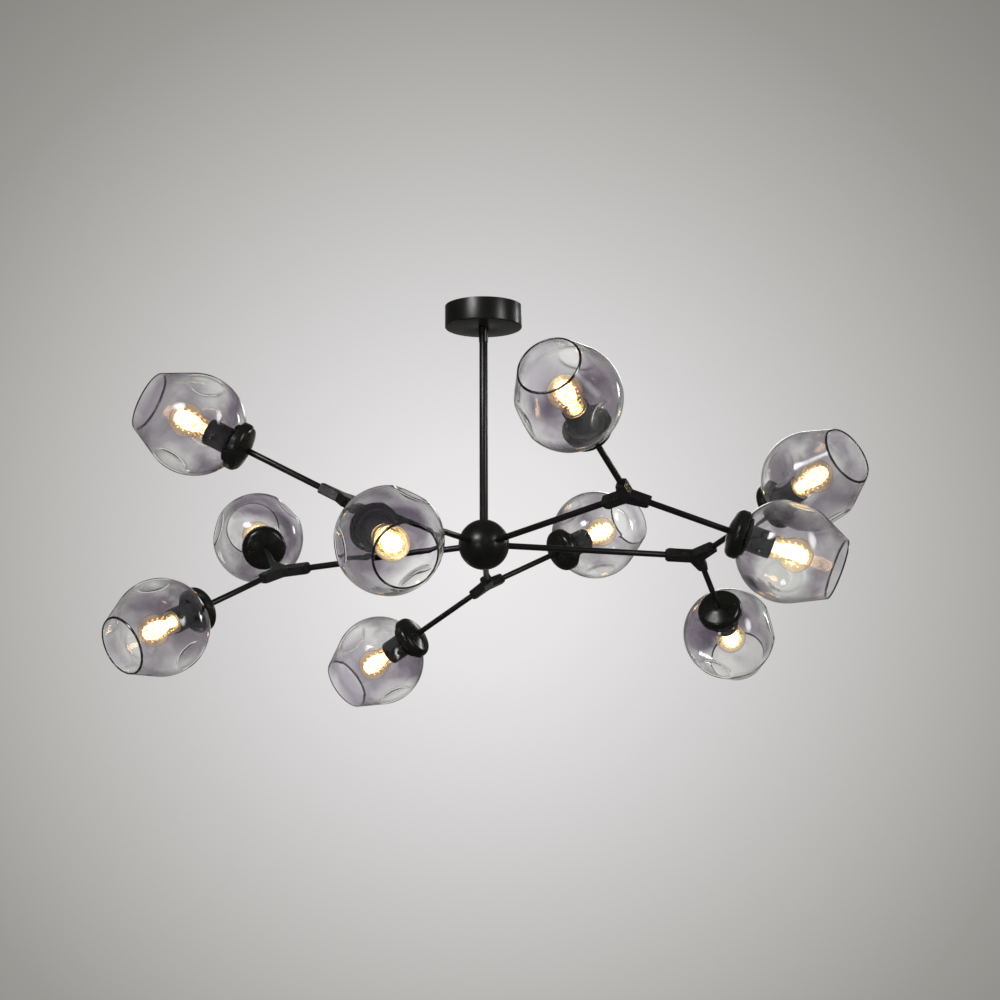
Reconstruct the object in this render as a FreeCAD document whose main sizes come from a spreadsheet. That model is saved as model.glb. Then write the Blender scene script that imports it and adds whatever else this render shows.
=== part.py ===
import FreeCAD, Part
import math
import os
import re

import Sketcher

# Branch chandelier: a cup canopy on the ceiling, a stem, a ball hub with five long arms, and on
# each arm a Y-shaped cast fork with two short branches. Each branch ends in a domed cap, a
# lampholder with a bulb, and a dented glass sphere that opens in a tapered mouth.
#
# The origin is the centre of the ceiling face, +Z is up and the sizes are millimetres and degrees.
# Fork frame: origin where the three bores meet, X along the arm and away from the hub, XY the
# plane of the Y, Z out of the face that holds the set screws.
# Lamp frame: origin at the centre of the glass sphere, Z towards the mouth.

SIZES = {
    # canopy
    "CanopyDiameter": 120,
    "CanopyHeight": 35,
    "CanopyWall": 1.2,
    "CanopyRound": 2,
    # ceiling bracket, and the headless screws that hold the canopy to its tabs
    "BracketWidth": 22,
    "BracketSheet": 2,
    "BracketTab": 16,
    "BracketBend": 4,
    "BracketClearance": 0.4,
    "CeilingSlotSpacing": 70,
    "CeilingSlotWidth": 5.5,
    "CeilingSlotLength": 12,
    "CanopyScrewDiameter": 4,
    "CanopyScrewLength": 9,
    "CanopyScrewDrop": 10,
    "TerminalLength": 30,
    "TerminalWidth": 16,
    "TerminalHeight": 12,
    # stem
    "StemDiameter": 13,
    "StemWall": 1.5,
    "StemAboveFloor": 12,
    "StemSeat": 14,
    "NutAcross": 19,
    "NutHeight": 5,
    "CollarHeight": 23,
    "CollarTop": 16,
    "CollarBottom": 14,
    # hub
    "HubDrop": 342.8,
    "BallDiameter": 78,
    "BallCavity": 44,
    # arms, from the hub centre to the fork centre
    "ArmReach": 345.3,
    "ArmDiameter": 9.6,
    "ArmWall": 1,
    "ArmSeat": 14,
    "ArmInsert": 30,
    # fork casting
    "ForkThickness": 15.5,
    "ForkEdge": 1.3,
    "MainReach": 54,
    "MainWidth": 18,
    "MainBevel": 4,
    "GussetStart": 12,
    "BranchAngle": 61.8,
    "BranchReach": 33,
    "BranchWidth": 15,
    "BranchBevel": 3,
    "WireBore": 6,
    "SetScrewDiameter": 4,
    "SetScrewInset": 8.5,
    "SetScrewRecess": 0.4,
    # branch tubes, from the fork centre to the centre of the glass
    "LampReach": 242.4,
    "BranchDiameter": 9.2,
    "BranchWall": 1,
    "BranchInsert": 20,
    # glass shade
    "GlassDiameter": 150,
    "GlassWall": 2.4,
    "NeckPlane": 68,
    "NeckHole": 42,
    "MouthPlane": 78,
    "MouthTaper": 26,
    "DentRadius": 60,
    "DentRim": 52,
    # cap
    "CapDiameter": 72,
    "CapCrown": 90,
    "CapSheet": 1.2,
    "CapRound": 12,
    "CapLip": 7,
    # lampholder and the ring that clamps the glass
    "HolderDiameter": 39,
    "HolderMouth": 23.3,
    "HolderEntry": 8,
    "HolderCollar": 18,
    "HolderCollarHeight": 3,
    "HolderShoulder": 6,
    "FlangeDiameter": 52,
    "FlangeThickness": 3,
    "RingDiameter": 56,
    "RingHeight": 6,
    # bulb
    "BaseDiameter": 26,
    "BaseLength": 28,
    "BaseTaper": 7,
    "BaseContact": 11,
    "BulbDiameter": 50,
    "BulbTip": 39,
    "BulbNeck": 34,
    "BulbBlend": 20,
    # clearances: running fit of tube in bore, seats at rest, screwed bulb base
    "FitGap": 0.05,
    "SeatGap": 0.3,
    "ThreadGap": 0.35,
}

# How each arm and fork stands: azimuth from +X, rise above level, turn of the fork about its arm.
ARMS = {
    "A": (233.9, 3.4, 150.2),
    "B": (160.8, -3.8, 151.9),
    "C": (307.3, 4.0, 155.9),
    "D": (13.6, -0.9, 155.1),
    "E": (89.5, -1.4, 149.6),
}
# How far each glass is turned about its own axis, up lamp then down lamp of each fork.
GLASS_TURNS = {"A": (88, 60), "B": (1, 66), "C": (54, 33), "D": (85, 93), "E": (84, 107)}
DENT_COUNT = 3

doc = FreeCAD.newDocument("BranchChandelier")
sheet = doc.addObject("Spreadsheet::Sheet", "Sizes")


def fill_sheet():
    values = dict(SIZES)
    for letter, (azimuth, rise, turn) in ARMS.items():
        values["Azimuth" + letter] = azimuth
        values["Rise" + letter] = rise
        values["ForkTurn" + letter] = turn
        values["UpGlassTurn" + letter], values["DownGlassTurn" + letter] = GLASS_TURNS[letter]
    for row, (alias, value) in enumerate(values.items(), 1):
        sheet.set("A%d" % row, alias)
        sheet.set("B%d" % row, str(value))
        sheet.setAlias("B%d" % row, alias)
    doc.recompute()
    return values


ALIASES = fill_sheet()


def bound(text):
    """The expression with each alias written as a cell of the sheet."""
    return re.sub(r"[A-Z]\w+", lambda word: "Sizes." + word[0] if word[0] in ALIASES else word[0], text)


def number(text):
    """What an expression comes to with the sheet's values."""
    return float(sheet.evalExpression(bound(text)))


def bind(item, **fields):
    """Bind properties of an object to expressions of the sheet's values."""
    for field, text in fields.items():
        item.setExpression(field, bound(text))
    return item


def move(x="0", y="0", z="0"):
    return "placement(vector(%s;%s;%s);rotation(vector(0;0;1);0))" % (x, y, z)


def turn(axis, angle):
    return "placement(vector(0;0;0);rotation(vector(%s);%s))" % (axis, angle)


X_AXIS = "1;0;0"
Y_AXIS = "0;1;0"
Z_AXIS = "0;0;1"
HUB = move(z="-(CanopyHeight + HubDrop)")
# turns the lamp frame so that its Z lies along the fork frame's X, and its X along Z
LAMP_TO_X = turn("1;0;1", "180")
BRANCHES = {"up": "BranchAngle", "down": "-BranchAngle"}


def along_branch(side):
    return turn(Z_AXIS, BRANCHES[side])


def lamp_frame(side):
    return "*".join((along_branch(side), move(x="LampReach"), LAMP_TO_X))


def arm_frame(letter):
    """Origin at the hub centre, X along the arm."""
    return "*".join((HUB, turn(Z_AXIS, "Azimuth" + letter), turn(Y_AXIS, "-Rise" + letter)))


def fork_frame(letter):
    return "*".join((arm_frame(letter), move(x="ArmReach"), turn(X_AXIS, "ForkTurn" + letter)))


def origin_plane(body, role):
    return next(feature for feature in body.Origin.OriginFeatures if feature.Role == role)


def new_sketch(body, name, plane="XZ_Plane"):
    sketch = body.newObject("Sketcher::SketchObject", name)
    sketch.AttachmentSupport = [(origin_plane(body, plane), "")]
    sketch.MapMode = "FlatFace"
    return sketch


def pin(sketch, item, point, x=None, y=None):
    """Hold a point of the sketch at the distances that the expressions give from its origin."""
    for kind, text in (("DistanceX", x), ("DistanceY", y)):
        if text is not None:
            index = sketch.addConstraint(Sketcher.Constraint(kind, -1, 1, item, point, number(text)))
            sketch.setExpression("Constraints[%d]" % index, bound(text))


def outline(sketch, corners):
    """Draw a closed outline. A corner is (x, y), or (x, y, centre x, centre y) where an arc leaves it."""
    first = sketch.GeometryCount
    spots = [FreeCAD.Vector(number(corner[0]), number(corner[1]), 0) for corner in corners]
    ends = []
    for corner, start, end in zip(corners, spots, spots[1:] + spots[:1]):
        if len(corner) == 2:
            sketch.addGeometry(Part.LineSegment(start, end), False)
            ends.append((1, 2))
            continue
        centre = FreeCAD.Vector(number(corner[2]), number(corner[3]), 0)
        rays = [start - centre, end - centre]
        anticlockwise = rays[0].cross(rays[1]).z > 0
        circle = Part.Circle(centre, FreeCAD.Vector(0, 0, 1), rays[0].Length)
        angles = [math.atan2(ray.y, ray.x) for ray in (rays if anticlockwise else rays[::-1])]
        sketch.addGeometry(Part.ArcOfCircle(circle, *angles), False)
        ends.append((1, 2) if anticlockwise else (2, 1))
    count = len(corners)
    for index, corner in enumerate(corners):
        after = (index + 1) % count
        joint = ("Coincident", first + index, ends[index][1], first + after, ends[after][0])
        sketch.addConstraint(Sketcher.Constraint(*joint))
        pin(sketch, first + index, ends[index][0], corner[0], corner[1])
        if len(corner) == 4:
            chord = spots[after] - spots[index]
            upright = abs(chord.y) > abs(chord.x)
            pin(sketch, first + index, 3, *((corner[2], None) if upright else (None, corner[3])))


def revolved(name, corners):
    """A body turned about its Z axis from a half section drawn as (radius, height)."""
    body = doc.addObject("PartDesign::Body", name)
    section = new_sketch(body, name + "Section")
    outline(section, corners)
    turned = body.newObject("PartDesign::Revolution", name + "Turned")
    turned.Profile = section
    turned.ReferenceAxis = (section, ["V_Axis"])
    turned.Angle = 360
    return body


def cylinder(name, radius, height, base="0", place=None):
    item = bind(doc.addObject("Part::Cylinder", name), Radius=radius, Height=height)
    shift = move(z=base)
    return bind(item, Placement=shift if place is None else place + "*" + shift)


def sphere(name, radius, place=None):
    item = bind(doc.addObject("Part::Sphere", name), Radius=radius)
    return item if place is None else bind(item, Placement=place)


def cut(name, base, tool):
    item = doc.addObject("Part::Cut", name)
    item.Base = base
    item.Tool = tool
    return item


def group(name, items, place=None):
    item = doc.addObject("Part::Compound", name)
    item.Links = items
    return item if place is None else bind(item, Placement=place)


def tube(name, diameter, wall, length, base="0"):
    outside = cylinder(name + "Outside", diameter + " / 2", length, base)
    inside = cylinder(name + "Inside", "%s / 2 - %s" % (diameter, wall), length, base)
    return cut(name, outside, inside)


NODES = []


def node(item, label):
    """Give a finished piece the name that its file takes."""
    item.Label = label
    NODES.append(item)
    return item


# ---- canopy, bracket and stem, in the object's own frame ----

CANOPY_INSIDE = "(CanopyDiameter / 2 - CanopyWall)"
CANOPY_FLOOR = "(CanopyWall - CanopyHeight)"
BALL_TOP = "(BallDiameter / 2)"
STEM_HOLE = "(StemDiameter / 2 + FitGap)"
SCREW_HOLE = "(CanopyScrewDiameter / 2 + FitGap)"


def make_canopy():
    radius = "CanopyDiameter / 2"
    inner_round = "(CanopyRound - CanopyWall)"
    corners = [
        (STEM_HOLE, "-CanopyHeight"),
        (radius + " - CanopyRound", "-CanopyHeight", radius + " - CanopyRound", "CanopyRound - CanopyHeight"),
        (radius, "CanopyRound - CanopyHeight"),
        (radius, "0"),
        (CANOPY_INSIDE, "0"),
        (CANOPY_INSIDE, "CanopyRound - CanopyHeight", radius + " - CanopyRound", "CanopyRound - CanopyHeight"),
        (CANOPY_INSIDE + " - " + inner_round, CANOPY_FLOOR),
        (STEM_HOLE, CANOPY_FLOOR),
    ]
    cup = revolved("CanopyCup", corners)
    drill = cylinder("CanopyDrill", SCREW_HOLE, "CanopyDiameter + BracketWidth",
                     place=move("-(CanopyDiameter + BracketWidth) / 2", z="-CanopyScrewDrop") + "*"
                     + turn(Y_AXIS, "90"))
    node(cut("Canopy", cup, drill), "canopy")
    return drill


def make_bracket(drill):
    """A strip with its two ends bent down just inside the canopy wall."""
    half = "sqrt(pow(%s - BracketClearance; 2) - pow(BracketWidth / 2; 2))" % CANOPY_INSIDE
    inside = half + " - BracketSheet"
    bend = half + " - BracketBend"
    corners = [
        ("-(%s)" % bend, "0", "-(%s)" % bend, "-BracketBend"),
        ("-(%s)" % half, "-BracketBend"),
        ("-(%s)" % half, "-BracketTab"),
        ("-(%s)" % inside, "-BracketTab"),
        ("-(%s)" % inside, "-BracketBend", "-(%s)" % bend, "-BracketBend"),
        ("-(%s)" % bend, "-BracketSheet"),
        (bend, "-BracketSheet", bend, "-BracketBend"),
        (inside, "-BracketBend"),
        (inside, "-BracketTab"),
        (half, "-BracketTab"),
        (half, "-BracketBend", bend, "-BracketBend"),
        (bend, "0"),
    ]
    body = doc.addObject("PartDesign::Body", "BracketBody")
    section = new_sketch(body, "BracketSection")
    outline(section, corners)
    strip = body.newObject("PartDesign::Pad", "BracketStrip")
    strip.Profile = section
    strip.Midplane = True
    bind(strip, Length="BracketWidth")
    slots = new_sketch(body, "CeilingSlots", "XY_Plane")
    reach = "(CeilingSlotLength - CeilingSlotWidth) / 2"
    for side in ("", "-"):
        centre = side + "CeilingSlotSpacing / 2"
        ends = ["%s - %s" % (centre, reach), "%s + %s" % (centre, reach)]
        outline(slots, [
            (ends[0], "-CeilingSlotWidth / 2"),
            (ends[1], "-CeilingSlotWidth / 2", ends[1], "0"),
            (ends[1] + " + CeilingSlotWidth / 2", "0", ends[1], "0"),
            (ends[1], "CeilingSlotWidth / 2"),
            (ends[0], "CeilingSlotWidth / 2", ends[0], "0"),
            (ends[0] + " - CeilingSlotWidth / 2", "0", ends[0], "0"),
        ])
    pocket = body.newObject("PartDesign::Pocket", "SlotPocket")
    pocket.Profile = slots
    pocket.Midplane = True
    bind(pocket, Length="BracketSheet * 3")
    node(cut("CeilingBracket", body, drill), "ceiling_bracket")
    return strip, pocket


def make_canopy_screws():
    """Two headless screws, flush with the outside of the canopy, through its wall into the tabs."""
    screws = []
    for name, side in (("Right", "90"), ("Left", "-90")):
        place = move(z="-CanopyScrewDrop") + "*" + turn(Y_AXIS, side)
        base = "CanopyDiameter / 2 - CanopyScrewLength - SeatGap"
        screws.append(cylinder("CanopyScrew" + name, "CanopyScrewDiameter / 2", "CanopyScrewLength", base, place))
    node(group("CanopyScrews", screws), "canopy_screws")


def make_terminal_block():
    """Stands on the underside of the bracket, over the open end of the stem."""
    item = doc.addObject("Part::Box", "TerminalBlock")
    bind(item, Length="TerminalLength", Width="TerminalWidth", Height="TerminalHeight",
         Placement=move("-TerminalLength / 2", "-TerminalWidth / 2", "-(BracketSheet + TerminalHeight)"))
    node(item, "terminal_block")


def make_stem():
    bottom = "(BallDiameter / 2 - StemSeat - CanopyHeight - HubDrop)"
    length = "(%s + StemAboveFloor - %s)" % (CANOPY_FLOOR, bottom)
    node(tube("StemTube", "StemDiameter", "StemWall", length, bottom), "stem_tube")
    nut = bind(doc.addObject("Part::Prism", "NutBlank"), Circumradius="NutAcross / 2 / cos(30)",
               Height="NutHeight", Placement=move(z=CANOPY_FLOOR))
    nut.Polygon = 6
    hole = cylinder("NutHole", STEM_HOLE, "NutHeight", CANOPY_FLOOR)
    node(cut("StemNut", nut, hole), "stem_nut")
    collar = revolved("StemCollar", [
        (STEM_HOLE, "-(CanopyHeight + CollarHeight)"),
        ("CollarBottom / 2", "-(CanopyHeight + CollarHeight)"),
        ("CollarTop / 2", "-CanopyHeight"),
        (STEM_HOLE, "-CanopyHeight"),
    ])
    node(collar, "stem_collar")


# ---- hub ball and arms ----

def make_hub():
    """A ball with a wiring cavity, bored from above for the stem and from the side for each arm."""
    ball = sphere("Ball", "BallDiameter / 2", HUB)
    bores = [cylinder("StemBore", STEM_HOLE, "BallDiameter / 2", place=HUB)]
    for letter in ARMS:
        place = arm_frame(letter) + "*" + turn(Y_AXIS, "90")
        bores.append(cylinder("ArmBore" + letter, "ArmDiameter / 2 + FitGap", "BallDiameter / 2", place=place))
    hollow = doc.addObject("Part::MultiFuse", "BallHollow")
    hollow.Shapes = [sphere("BallCavity", "BallCavity / 2", HUB)] + bores
    node(cut("HubBall", ball, hollow), "hub_ball")


def make_arms():
    start = "(BallDiameter / 2 - ArmSeat)"
    length = "ArmReach - MainReach + ArmInsert - " + start
    arm = tube("ArmTube", "ArmDiameter", "ArmWall", length, start)
    arms = [group("Arm" + letter, [arm], arm_frame(letter) + "*" + turn(Y_AXIS, "90")) for letter in ARMS]
    node(group("MainArms", arms), "main_arms")


# ---- fork, in the fork frame ----

def branch_point(sign, distance, offset):
    """A point of the fork's plane: distance out along a branch, offset to its outer side."""
    x = "(%s) * cos(BranchAngle) - (%s) * sin(BranchAngle)" % (distance, offset)
    y = "%s((%s) * sin(BranchAngle) + (%s) * cos(BranchAngle))" % (sign, distance, offset)
    return x, y


def fork_outline():
    half = "MainWidth / 2"
    side = "BranchWidth / 2"
    upper = [
        ("-MainReach", half + " - MainBevel"),
        ("MainBevel - MainReach", half),
        ("-GussetStart", half),
        branch_point("", "BranchReach - BranchBevel", side),
        branch_point("", "BranchReach", side + " - BranchBevel"),
        branch_point("", "BranchReach", "-" + side),
    ]
    lower = [(x, "-(%s)" % y) for x, y in reversed(upper)]
    return upper + [(side + " / sin(BranchAngle)", "0")] + lower


def make_fork():
    """The Y casting: a plate with bevelled edges, bored from its three ends for tubes and wires."""
    body = doc.addObject("PartDesign::Body", "ForkCasting")
    plan = new_sketch(body, "ForkPlan", "XY_Plane")
    outline(plan, fork_outline())
    plate = body.newObject("PartDesign::Pad", "ForkPlate")
    plate.Profile = plan
    plate.Midplane = True
    bind(plate, Length="ForkThickness")
    doc.recompute()
    flats = ["Face%d" % (index + 1) for index, face in enumerate(plate.Shape.Faces)
             if abs(face.normalAt(0, 0).z) > math.cos(math.radians(1))]
    edged = body.newObject("PartDesign::Chamfer", "ForkEdges")
    edged.Base = (plate, flats)
    bind(edged, Size="ForkEdge")

    main = new_sketch(body, "MainBoreSection", "XY_Plane")
    bore = "ArmDiameter / 2 + FitGap"
    bottom = "ArmInsert + SeatGap - MainReach"
    outline(main, [("-MainReach - ForkEdge", "0"), ("-MainReach - ForkEdge", bore), (bottom, bore),
                   (bottom, "WireBore / 2"), ("0", "WireBore / 2"), ("0", "0")])
    main_bore = body.newObject("PartDesign::Groove", "MainBore")
    main_bore.Profile = main
    main_bore.ReferenceAxis = (main, ["H_Axis"])
    main_bore.Angle = 360

    bore = "BranchDiameter / 2 + FitGap"
    bottom = "BranchReach - BranchInsert - SeatGap"
    beyond = "BranchReach + ForkEdge"
    branch_bores = []
    for name, sign in (("UpBore", ""), ("DownBore", "-")):
        branch = new_sketch(body, name + "Section", "XY_Plane")
        outline(branch, [branch_point(sign, "0", "0"), branch_point(sign, "0", "WireBore / 2"),
                         branch_point(sign, bottom, "WireBore / 2"), branch_point(sign, bottom, bore),
                         branch_point(sign, beyond, bore), branch_point(sign, beyond, "0")])
        axis = sketch_line(branch, branch_point(sign, "0", "0"), branch_point(sign, beyond, "0"))
        branch_bore = body.newObject("PartDesign::Groove", name)
        branch_bore.Profile = branch
        branch_bore.ReferenceAxis = (branch, [axis])
        branch_bore.Angle = 360
        branch_bores.append(branch_bore)

    holes = new_sketch(body, "ScrewHoles", "XY_Plane")
    for x, y in screw_spots():
        radius = "SetScrewDiameter / 2 + FitGap"
        circle = Part.Circle(FreeCAD.Vector(number(x), number(y), 0), FreeCAD.Vector(0, 0, 1), number(radius))
        item = holes.addGeometry(circle, False)
        pin(holes, item, 3, x, y)
        index = holes.addConstraint(Sketcher.Constraint("Radius", item, number(radius)))
        holes.setExpression("Constraints[%d]" % index, bound(radius))
    tapped = body.newObject("PartDesign::Pocket", "ScrewTaps")
    tapped.Profile = holes
    tapped.Reversed = True
    bind(tapped, Length="ForkThickness")

    return body, [plate, edged, main_bore] + branch_bores + [tapped]


def sketch_line(sketch, start, end):
    """A construction line for a feature to turn about, and the name that the feature knows it by."""
    spots = [FreeCAD.Vector(number(x), number(y), 0) for x, y in (start, end)]
    item = sketch.addGeometry(Part.LineSegment(*spots), True)
    pin(sketch, item, 1, *start)
    pin(sketch, item, 2, *end)
    return "Axis0"


def screw_spots():
    """Where the set screws stand: one over the arm and one over each branch tube."""
    inset = "BranchReach - SetScrewInset"
    return [("SetScrewInset - MainReach", "0"), branch_point("", inset, "0"), branch_point("-", inset, "0")]


def make_set_screws():
    top = "ForkThickness / 2 - SetScrewRecess"
    screws = []
    for index, ((x, y), diameter) in enumerate(zip(screw_spots(), ("ArmDiameter",) + ("BranchDiameter",) * 2)):
        base = "%s / 2 + SeatGap" % diameter
        screws.append(cylinder("SetScrew%d" % index, "SetScrewDiameter / 2",
                               "%s - (%s)" % (top, base), base, move(x, y)))
    return group("SetScrews", screws)


def make_branch_tubes():
    start = "(BranchReach - BranchInsert)"
    length = "LampReach - CapCrown + HolderEntry - " + start
    straight = tube("BranchTube", "BranchDiameter", "BranchWall", length, start)
    pair = [group("Branch" + side, [straight], along_branch(side) + "*" + turn(Y_AXIS, "90"))
            for side in BRANCHES]
    return group("BranchTubes", pair)


# ---- lamp pieces, in the lamp frame ----

NECK_OUTSIDE = "(NeckPlane + SeatGap)"
HOLDER_TOP = "(CapCrown - CapSheet - SeatGap)"
BULB_PLANE = "(HolderMouth - SeatGap)"


def glass_profile(name, shrink, neck, mouth):
    """A sphere cut by the neck plane, running on from its belly in the tangent cone of the mouth."""
    radius = "(GlassDiameter / 2 - %s)" % shrink
    rim = "(%s / cos(MouthTaper) - (%s) * tan(MouthTaper))" % (radius, mouth)
    return revolved(name, [
        ("0", "-(%s)" % neck),
        ("sqrt(pow(%s; 2) - pow(%s; 2))" % (radius, neck), "-(%s)" % neck, "0", "0"),
        (radius + " * cos(MouthTaper)", radius + " * sin(MouthTaper)"),
        (rim, mouth),
        ("0", mouth),
    ])


def make_shade():
    """Blown glass of even wall with three dents round its belly, a flat neck and an open mouth."""
    skins = []
    half_rim = "pow(DentRim / 2; 2)"
    distance = "(sqrt(pow(GlassDiameter / 2; 2) - %s) + sqrt(pow(DentRadius; 2) - %s))" % (half_rim, half_rim)
    layers = (("Outer", "0", "NeckPlane", "MouthPlane"),
              ("Inner", "GlassWall", "NeckPlane - GlassWall", "MouthPlane + GlassWall"))
    for layer, shrink, neck, mouth in layers:
        skin = glass_profile("Glass" + layer, shrink, neck, mouth)
        dents = []
        for count in range(DENT_COUNT):
            place = turn(Z_AXIS, "360 / %d * %d + 180 / %d" % (DENT_COUNT, count, DENT_COUNT))
            dents.append(sphere("%sDent%d" % (layer, count), "DentRadius + " + shrink,
                                place + "*" + move(x=distance)))
        skins.append(cut(layer + "Dented", skin, group(layer + "Dents", dents)))
    shell = cut("GlassShell", *skins)
    hole = cylinder("NeckHole", "NeckHole / 2", "GlassWall * 3", "-(NeckPlane + GlassWall)")
    return cut("Shade", shell, hole)


def make_cap():
    """A pressed dome whose lip turns in over the flat neck of the glass."""
    radius = "CapDiameter / 2"
    inner = "(CapDiameter / 2 - CapSheet)"
    flat = "(CapDiameter / 2 - CapRound)"
    hole = "BranchDiameter / 2 + FitGap"
    crown = "-CapCrown"
    under = "(CapSheet - CapCrown)"
    spring = "(CapRound - CapCrown)"
    lip = "-(%s + CapSheet)" % NECK_OUTSIDE
    return revolved("Cap", [
        (hole, crown),
        (flat, crown, flat, spring),
        (radius, spring),
        (radius, "-" + NECK_OUTSIDE),
        (radius + " - CapLip", "-" + NECK_OUTSIDE),
        (radius + " - CapLip", lip),
        (inner, lip),
        (inner, spring, flat, spring),
        (flat, under),
        (hole, under),
    ])


def make_lampholder():
    """A closed pot with a collar for the branch tube, a flange behind the glass and a screw shell."""
    body = "HolderDiameter / 2"
    flange_top = "-(%s + FlangeThickness)" % NECK_OUTSIDE
    shell = "(BaseDiameter / 2 + ThreadGap)"
    floor = "-(%s + BaseLength + SeatGap)" % BULB_PLANE
    entry = "BranchDiameter / 2 + FitGap"
    entry_end = "HolderEntry + SeatGap - CapCrown"
    collar_end = "HolderCollarHeight - " + HOLDER_TOP
    return revolved("Lampholder", [
        (entry, "-" + HOLDER_TOP),
        ("HolderCollar / 2", "-" + HOLDER_TOP),
        ("HolderCollar / 2", collar_end),
        (body, collar_end + " + HolderShoulder"),
        (body, flange_top),
        ("FlangeDiameter / 2", flange_top),
        ("FlangeDiameter / 2", "-" + NECK_OUTSIDE),
        (body, "-" + NECK_OUTSIDE),
        (body, "-HolderMouth"),
        (shell, "-HolderMouth"),
        (shell, floor),
        ("WireBore / 2", floor),
        ("WireBore / 2", entry_end),
        (entry, entry_end),
    ])


def make_shade_ring():
    """Screws up the lampholder inside the glass and clamps its neck to the flange."""
    top = "(NeckPlane - GlassWall - SeatGap)"
    inner = "HolderDiameter / 2 + FitGap"
    return revolved("ShadeRing", [
        (inner, "-" + top),
        ("RingDiameter / 2", "-" + top),
        ("RingDiameter / 2", "RingHeight - " + top),
        (inner, "RingHeight - " + top),
    ])


def make_bulb():
    """A globe that runs through a hollow blend into its neck, and a screw base with its contact."""
    globe = "(BulbDiameter / 2)"
    neck = "(BulbNeck / 2)"
    centre = "(BulbTip - %s)" % globe
    drop = "sqrt(pow(%s + BulbBlend; 2) - pow(%s + BulbBlend; 2))" % (globe, neck)
    share = "%s / (%s + BulbBlend)" % (globe, globe)
    blend = centre + " - " + drop
    envelope = revolved("BulbEnvelope", [
        ("0", "-" + BULB_PLANE),
        (neck, "-" + BULB_PLANE),
        (neck, blend, neck + " + BulbBlend", blend),
        ("(%s + BulbBlend) * %s" % (neck, share), "%s - %s * %s" % (centre, drop, share), "0", centre),
        ("0", "BulbTip"),
    ])
    bottom = "-(%s + BaseLength)" % BULB_PLANE
    base = revolved("BulbBase", [
        ("0", bottom),
        ("BaseContact / 2", bottom),
        ("BaseDiameter / 2", bottom + " + BaseTaper"),
        ("BaseDiameter / 2", "-" + BULB_PLANE),
        ("0", "-" + BULB_PLANE),
    ])
    return envelope, base


def pair_of(name, piece):
    """One piece for the up lamp and one for the down lamp, in the fork frame."""
    return group(name, [group(name + side, [piece], lamp_frame(side)) for side in BRANCHES])


def place_forks(fork, shade):
    """Put a copy of every fork piece on each arm."""
    envelope, base = make_bulb()
    pieces = {
        "fork": fork,
        "set_screws": make_set_screws(),
        "branch_tubes": make_branch_tubes(),
        "caps": pair_of("Caps", make_cap()),
        "lampholders": pair_of("Lampholders", make_lampholder()),
        "shade_rings": pair_of("ShadeRings", make_shade_ring()),
        "bulb_envelopes": pair_of("BulbEnvelopes", envelope),
        "bulb_bases": pair_of("BulbBases", base),
    }
    for letter in ARMS:
        frame = fork_frame(letter)
        for label, piece in pieces.items():
            name = label.title().replace("_", "") + letter
            node(group(name, [piece], frame), "%s_%s" % (label, letter.lower()))
        for side, clock in (("up", "UpGlassTurn"), ("down", "DownGlassTurn")):
            # the turn is counted from the screw face, and the first dent is half a step from it
            clocked = turn(Z_AXIS, "180 / %d - %s%s" % (DENT_COUNT, clock, letter))
            place = "*".join((frame, lamp_frame(side), clocked))
            label = "shade_%s_%s" % (side, letter.lower())
            node(group("Shade%s%s" % (side.title(), letter), [shade], place), label)


def check_cuts(features):
    """Stop if a feature that should take material away or add it left the solid as it was."""
    for before, after in zip(features, features[1:]):
        if abs(before.Shape.Volume - after.Shape.Volume) < 1:
            raise RuntimeError(after.Label + " changed nothing")


def check_document():
    for item in doc.Objects:
        if {"Invalid", "Error"} & set(item.State):
            raise RuntimeError("%s failed: %s" % (item.Name, item.State))
    for item in NODES:
        if item.Shape.isNull() or not item.Shape.isValid() or not item.Shape.Solids:
            raise RuntimeError(item.Label + " has no sound shape")


canopy_drill = make_canopy()
bracket_features = make_bracket(canopy_drill)
make_canopy_screws()
make_terminal_block()
make_stem()
make_hub()
make_arms()
fork_body, fork_features = make_fork()
place_forks(fork_body, make_shade())
doc.recompute()
check_cuts(bracket_features)
check_cuts(fork_features)
check_document()

os.makedirs("parts", exist_ok=True)
for item in NODES:
    item.Shape.exportStep("parts/%s.step" % item.Label)
    print("%-20s %2d solids %10.1f mm3" % (item.Label, len(item.Shape.Solids), item.Shape.Volume))
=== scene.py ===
"""Branch chandelier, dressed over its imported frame.

The scene is in metres, in the frame's own axes. Sizes of pieces are in millimetres, in the frame of the
piece. Fork frame: origin where the three bores meet, X along the arm, Z out of the set screws' face.
Lamp frame: origin at the centre of the glass, Z towards its mouth.
"""
import math

import bmesh
import bpy
from mathutils import Matrix, Vector


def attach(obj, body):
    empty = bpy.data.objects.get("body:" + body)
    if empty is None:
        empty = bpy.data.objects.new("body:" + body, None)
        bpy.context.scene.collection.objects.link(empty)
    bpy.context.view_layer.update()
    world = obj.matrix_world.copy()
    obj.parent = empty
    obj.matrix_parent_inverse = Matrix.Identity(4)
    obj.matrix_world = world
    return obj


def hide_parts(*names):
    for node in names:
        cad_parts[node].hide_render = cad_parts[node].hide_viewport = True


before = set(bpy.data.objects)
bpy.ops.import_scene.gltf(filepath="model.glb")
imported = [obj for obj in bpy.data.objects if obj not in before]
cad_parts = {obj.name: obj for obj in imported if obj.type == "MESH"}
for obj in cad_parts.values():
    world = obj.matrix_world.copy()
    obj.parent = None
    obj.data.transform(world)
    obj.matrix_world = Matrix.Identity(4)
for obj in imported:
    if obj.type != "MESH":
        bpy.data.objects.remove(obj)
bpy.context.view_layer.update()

MM = 0.001
HUB_HEIGHT = -377.8
ARM_REACH = 345.3
LAMP_REACH = 242.4
BRANCH_ANGLE = 61.8
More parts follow.
